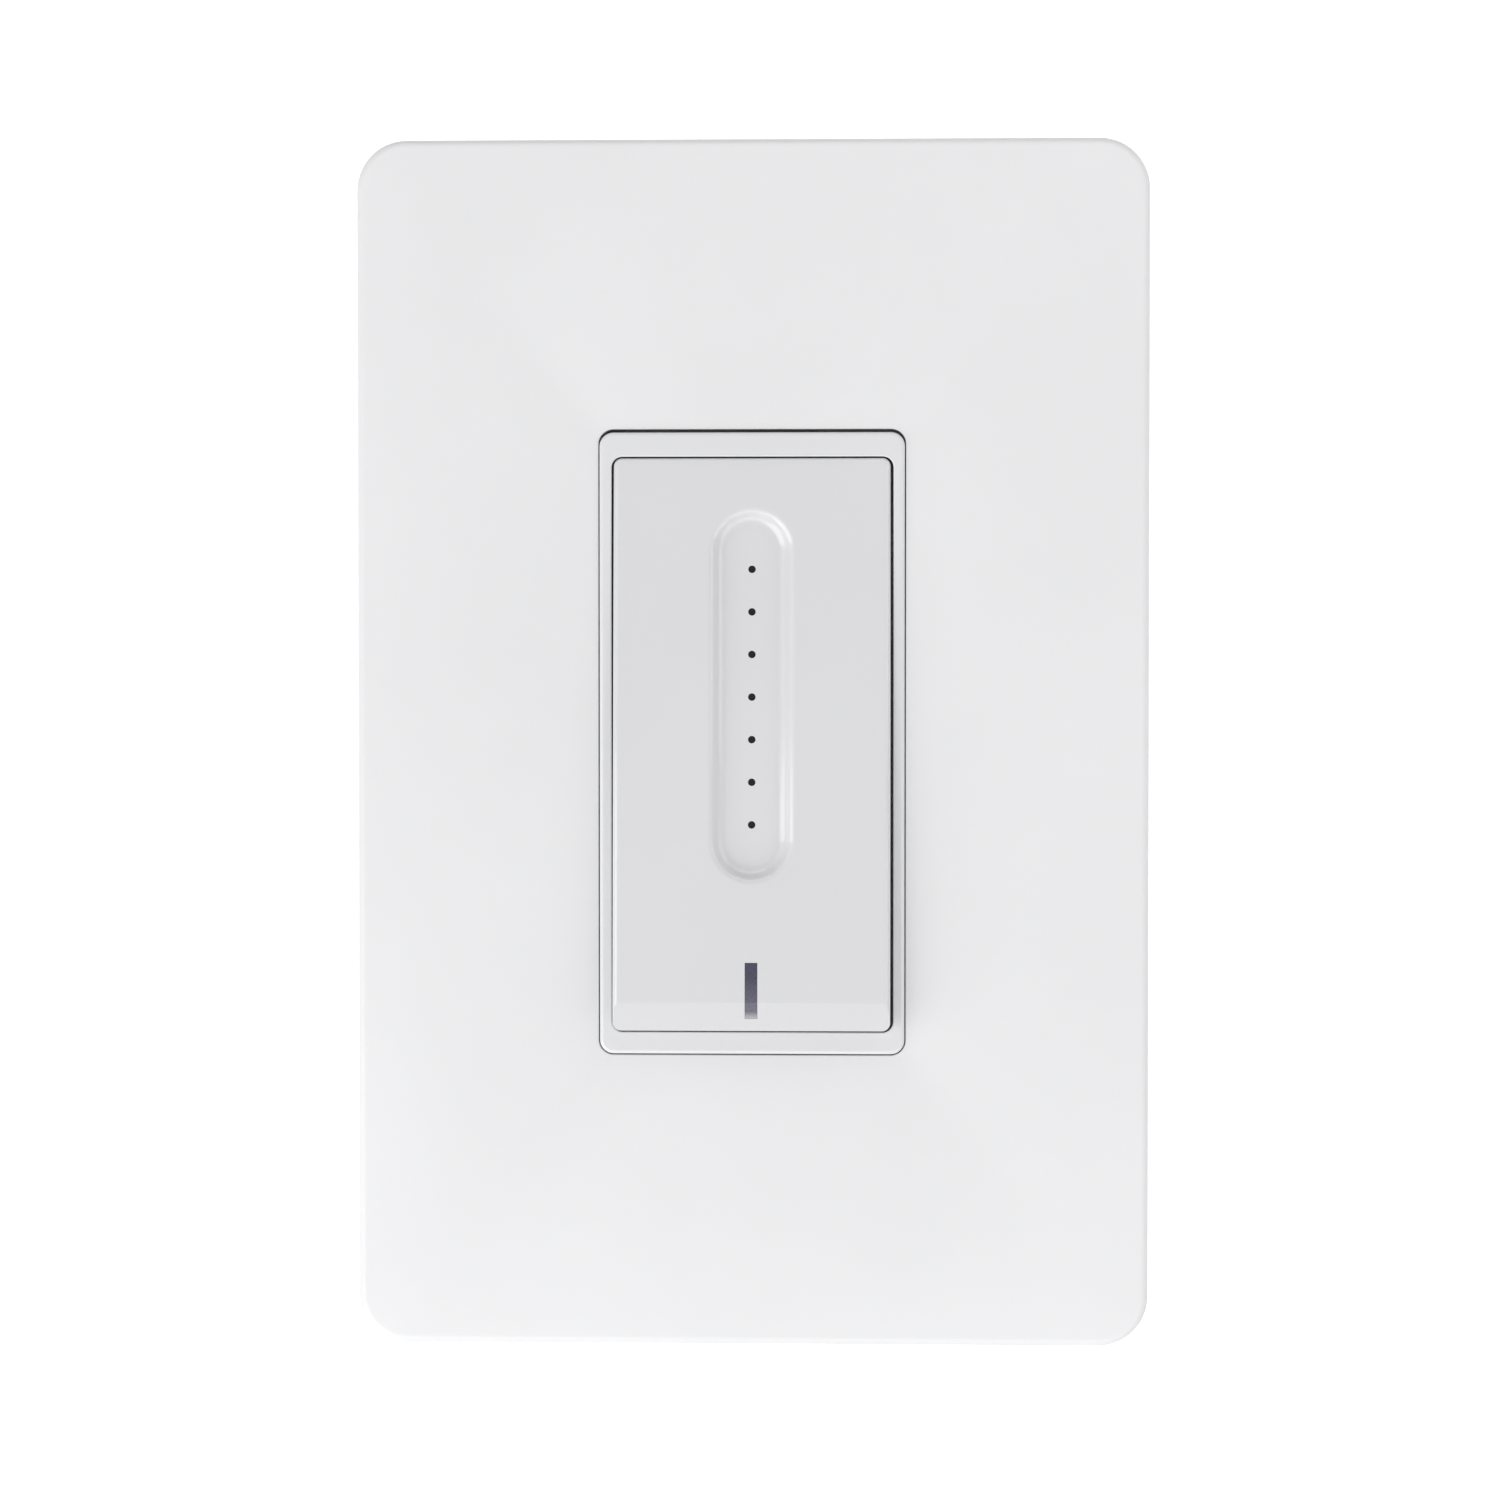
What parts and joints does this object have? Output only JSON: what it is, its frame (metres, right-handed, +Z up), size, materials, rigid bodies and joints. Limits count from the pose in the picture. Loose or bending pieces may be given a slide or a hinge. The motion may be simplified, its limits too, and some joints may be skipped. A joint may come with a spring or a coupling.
{
  "type": "dimmer switch",
  "caption": "In-wall dimmer: top-hinged push paddle with a touch groove and dot lights, in a screwless rectangular cover plate, on a metal yoke with a rear housing.",
  "frame": {"origin": "midway between the two box screws, on the yoke's back face, which is the wall plane", "axes": "+Z up along the plate's height, -Y out of the wall towards the user, +Y into the wall box, +X to the right seen from the front"},
  "size_m": [0.0846, 0.0432, 0.1288],
  "materials": {
    "cover_white": "fine satin moulded, slightly cool white",
    "bezel_white": "smooth gloss moulded white",
    "paddle_white": "smooth semi-gloss moulded white",
    "smoked_clear": "smoked translucent, almost black unlit",
    "smoked_bar": "smoked translucent, grey-violet unlit",
    "sub_plate_grey": "plain moulded",
    "zinc_steel": "zinc plated",
    "spring_steel": "drawn wire",
    "yoke_metal": "stamped, satin",
    "fibre_card": "pressed fibre",
    "ground_green": "green dyed plating",
    "brass": "plain",
    "housing_dark": "textured moulded",
    "board_green": "solder mask on glass epoxy",
    "black_resin": "moulded epoxy",
    "black_nylon": "moulded nylon",
    "led_clear": "clear resin over phosphor",
    "shroud_white": "plain moulded",
    "film_clear": "amber polyimide film",
    "pad_grey": "silicone pad",
    "capacitor_film": "potted plastic box",
    "capacitor_sleeve": "shrink sleeve",
    "ferrite": "sintered",
    "copper_wire": "enamelled copper",
    "yellow_tape": "polyester tape",
    "fuse_black": "moulded cap",
    "varistor_blue": "epoxy dipped",
    "tinned_steel": "tinned"
  },
  "bodies": {
    "device": {"cover_plate": "cover_white", "sub_plate": "sub_plate_grey", "sub_plate_screws": "zinc_steel", "bezel_frame": "bezel_white", "return_springs": "spring_steel", "touch_board": "board_green", "level_leds": "led_clear", "led_shroud": "shroud_white", "status_led": "led_clear", "touch_board_chips": "black_resin", "tact_switch_body": "black_nylon", "header_pins": "brass", "header_socket": "black_nylon", "yoke": "yoke_metal", "ground_screw": "ground_green", "ground_clamp": "zinc_steel", "box_screws": "zinc_steel", "screw_retainer_washers": "fibre_card", "rear_housing": "housing_dark", "case_screws": "zinc_steel", "terminal_blades": "brass", "terminal_clamps": "brass", "terminal_screws": "brass", "transistor_pads": "pad_grey", "power_transistors": "black_resin", "transistor_clamp": "spring_steel", "clamp_screw": "zinc_steel", "insulating_sheet": "film_clear", "main_board": "board_green", "film_capacitor": "capacitor_film", "electrolytic_capacitors": "capacitor_sleeve", "choke_core": "ferrite", "choke_winding": "copper_wire", "transformer_core": "ferrite", "transformer_bobbin": "yellow_tape", "fuse": "fuse_black", "varistor": "varistor_blue", "wifi_board": "board_green", "wifi_shield": "tinned_steel"},
    "paddle": {"paddle": "paddle_white", "dot_light_guide": "smoked_clear", "status_light_pipe": "smoked_bar"},
    "plunger": {"tact_switch_plunger": "black_nylon"}
  },
  "joints": [
    {"name": "paddle_press", "type": "hinge", "parent": "device", "child": "paddle", "pos_m": [0, -0.0039, 0.02734], "axis": [1, 0, 0], "range_deg": [0, 1], "stiffness_Nm_per_rad": 1.2, "springref_deg": -1.72, "deforming": ["return_springs"]},
    {"name": "plunger_push", "type": "slide", "parent": "device", "child": "plunger", "axis": [0, 1, 0], "range_m": [0, 0.00085]}
  ],
  "couplings": [
    {"joint": "plunger_push", "follows": "paddle_press", "m_per_rad": 0.04634}
  ]
}
